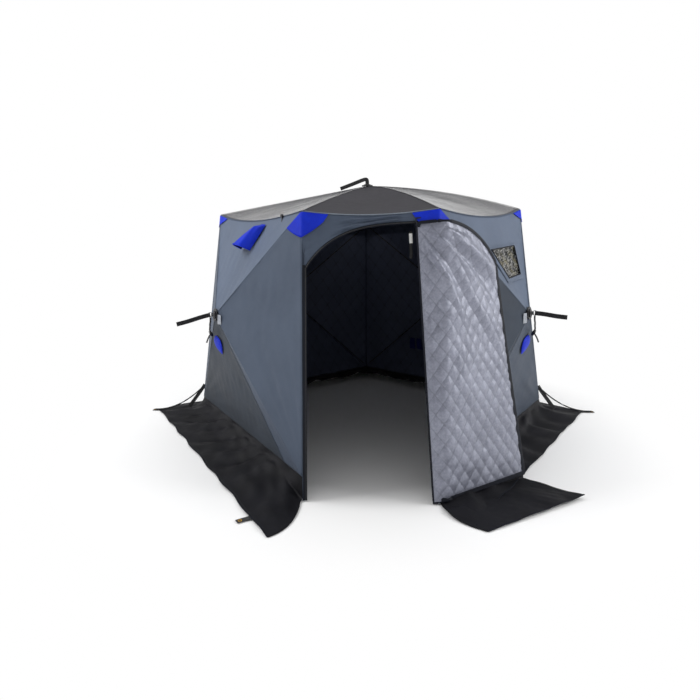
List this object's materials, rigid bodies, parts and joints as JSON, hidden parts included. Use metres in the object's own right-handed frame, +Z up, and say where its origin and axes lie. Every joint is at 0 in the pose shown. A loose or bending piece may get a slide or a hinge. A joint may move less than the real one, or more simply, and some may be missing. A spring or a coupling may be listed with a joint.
{
  "type": "ice fishing hut",
  "caption": "Five-sided pop-up fabric shelter on hubs and poles, with snow skirts, a vent hood, a window and a D-shaped quilted door that swings.",
  "frame": {"origin": "on the ground, in the middle of the footprint", "axes": "+Z up; the door face looks along -Y; +X is to the right seen from the front"},
  "size_m": [4.1957, 4.0167, 2.1507],
  "materials": {
    "wall_fabric": "woven, quilted and coated, slate grey",
    "roof_fabric": "woven and quilted, charcoal",
    "skirt_fabric": "coarse coated weave, black",
    "hub_plastic": "moulded, black",
    "pole": "glass fibre rod, dark grey",
    "webbing": "ribbed webbing, black",
    "blue_fabric": "coated weave, bright blue",
    "window_film": "clear film",
    "binding": "bound edge tape, black",
    "silver_quilt": "quilted satin lining, silver grey"
  },
  "bodies": {
    "shelter": {"left_wall": "wall_fabric", "right_wall": "wall_fabric", "back_left_wall": "wall_fabric", "back_right_wall": "wall_fabric", "front_wall": "wall_fabric", "left_roof": "roof_fabric", "right_roof": "roof_fabric", "back_left_roof": "roof_fabric", "back_right_roof": "roof_fabric", "front_roof": "roof_fabric", "left_skirt": "skirt_fabric", "right_skirt": "skirt_fabric", "back_left_skirt": "skirt_fabric", "back_right_skirt": "skirt_fabric", "left_hub": "hub_plastic", "right_hub": "hub_plastic", "back_left_hub": "hub_plastic", "back_right_hub": "hub_plastic", "roof_hub": "hub_plastic", "left_poles": "pole", "right_poles": "pole", "back_left_poles": "pole", "back_right_poles": "pole", "roof_poles": "pole", "left_pull_strap": "webbing", "right_pull_strap": "webbing", "back_left_pull_strap": "webbing", "back_right_pull_strap": "webbing", "left_corner_cap": "blue_fabric", "front_left_corner_cap": "blue_fabric", "front_right_corner_cap": "blue_fabric", "right_corner_cap": "blue_fabric", "back_corner_cap": "blue_fabric", "roof_strap": "webbing", "vent_hood": "blue_fabric", "window_film": "window_film", "window_frame": "binding", "rope_pockets": "blue_fabric", "grommet_tabs": "webbing", "hinge_cord": "binding"},
    "door": {"door_panel": "silver_quilt", "door_skirt": "skirt_fabric"}
  },
  "joints": [
    {"name": "door_hinge", "type": "hinge", "parent": "shelter", "child": "door", "pos_m": [0.376, -1.57884, 0.00211], "axis": [-0.0566, 0.1506, 0.987], "range_deg": [-209, 0]}
  ]
}
